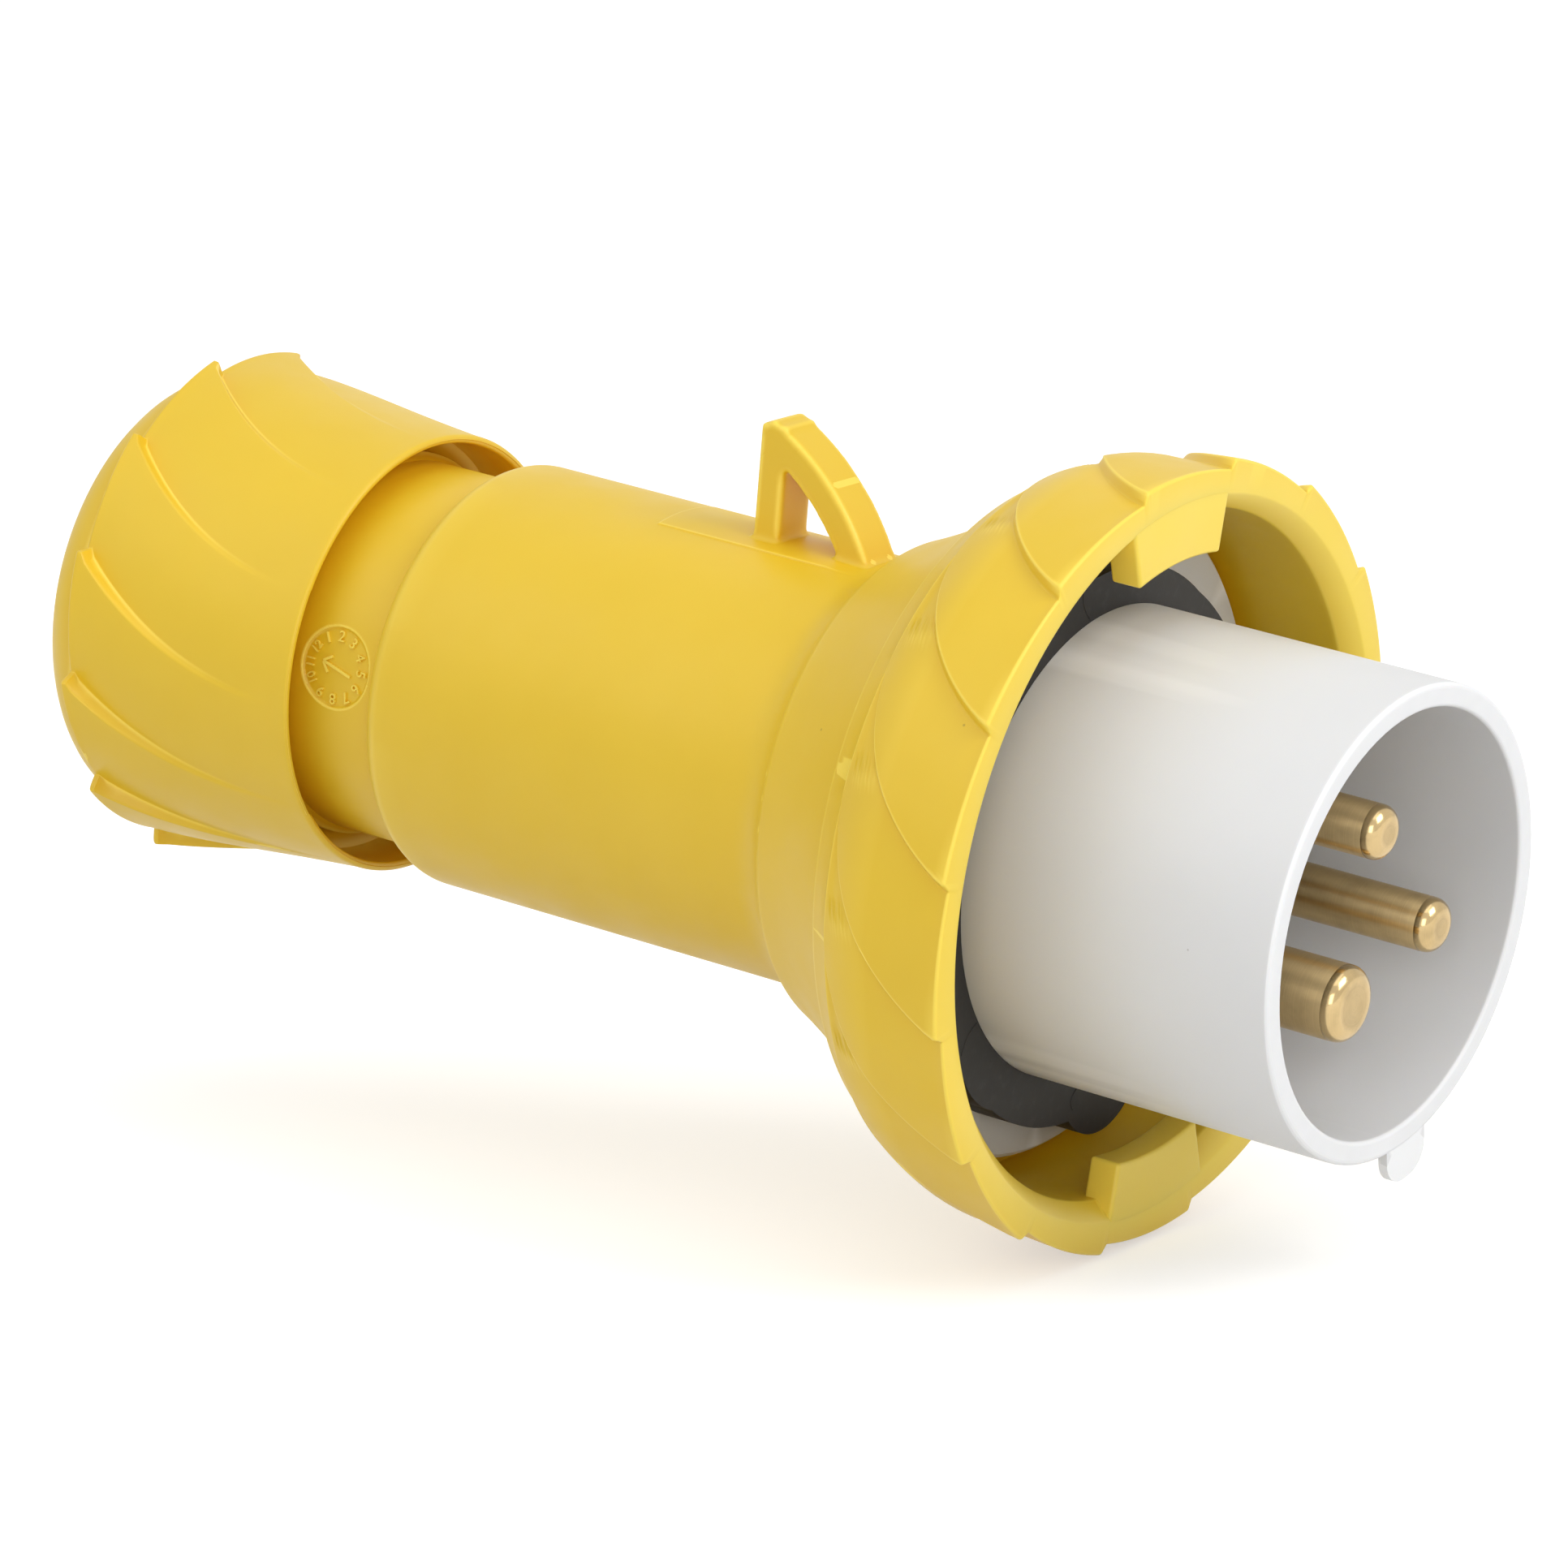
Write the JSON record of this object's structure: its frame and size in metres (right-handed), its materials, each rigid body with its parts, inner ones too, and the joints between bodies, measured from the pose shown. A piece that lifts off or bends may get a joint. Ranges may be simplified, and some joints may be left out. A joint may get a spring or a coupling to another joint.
{
  "type": "locking power plug",
  "caption": "Heavy-duty locking power plug with round pins in a keyed shroud, a scaled bayonet locking ring, a ridged cable gland nut and a hanging loop.",
  "frame": {"origin": "centre of the shroud's front rim, on the plug's axis", "axes": "+X along the plug's axis, the way the pins point; +Z towards the hanging loop; +Y completes a right-handed frame"},
  "size_m": [0.1381, 0.0722, 0.0722],
  "materials": {
    "yellow_plastic": "semi-gloss moulded",
    "white_plastic": "semi-gloss moulded",
    "black_rubber": "matt",
    "grey_plastic": "satin moulded",
    "pin_brass": "turned",
    "screw_steel": "zinc plated"
  },
  "bodies": {
    "plug": {"housing": "yellow_plastic", "contact_carrier": "white_plastic", "flange_gasket": "black_rubber", "earth_pin": "pin_brass", "line_pin_1": "pin_brass", "line_pin_2": "pin_brass", "pin_retainer": "white_plastic", "retainer_screw": "screw_steel", "earth_terminal_screw": "screw_steel", "line_terminal_screw_1": "screw_steel", "line_terminal_screw_2": "screw_steel", "earth_wire_clamp": "screw_steel", "line_wire_clamp_1": "screw_steel", "line_wire_clamp_2": "screw_steel", "carrier_seal": "black_rubber", "carrier_screw_1": "screw_steel", "carrier_screw_2": "screw_steel", "carrier_screw_3": "screw_steel", "cable_seal": "black_rubber", "clamping_cage": "grey_plastic"},
    "ring": {"locking_ring": "yellow_plastic"},
    "slip": {"pressure_ring": "grey_plastic"},
    "nut": {"gland_nut": "yellow_plastic"}
  },
  "joints": [
    {"name": "ring_turn", "type": "hinge", "parent": "plug", "child": "ring", "pos_m": [-0.0402, 0, 0], "axis": [1, 0, 0], "range_deg": [0, 45]},
    {"name": "gland_advance", "type": "slide", "parent": "plug", "child": "slip", "axis": [1, 0, 0], "range_m": [0, 0.0046]},
    {"name": "nut_turn", "type": "hinge", "parent": "slip", "child": "nut", "pos_m": [-0.1215, 0, 0], "axis": [1, 0, 0], "range_deg": [0, 540]}
  ],
  "couplings": [
    {"joint": "gland_advance", "follows": "nut_turn", "m_per_rad": 0.00047746}
  ]
}
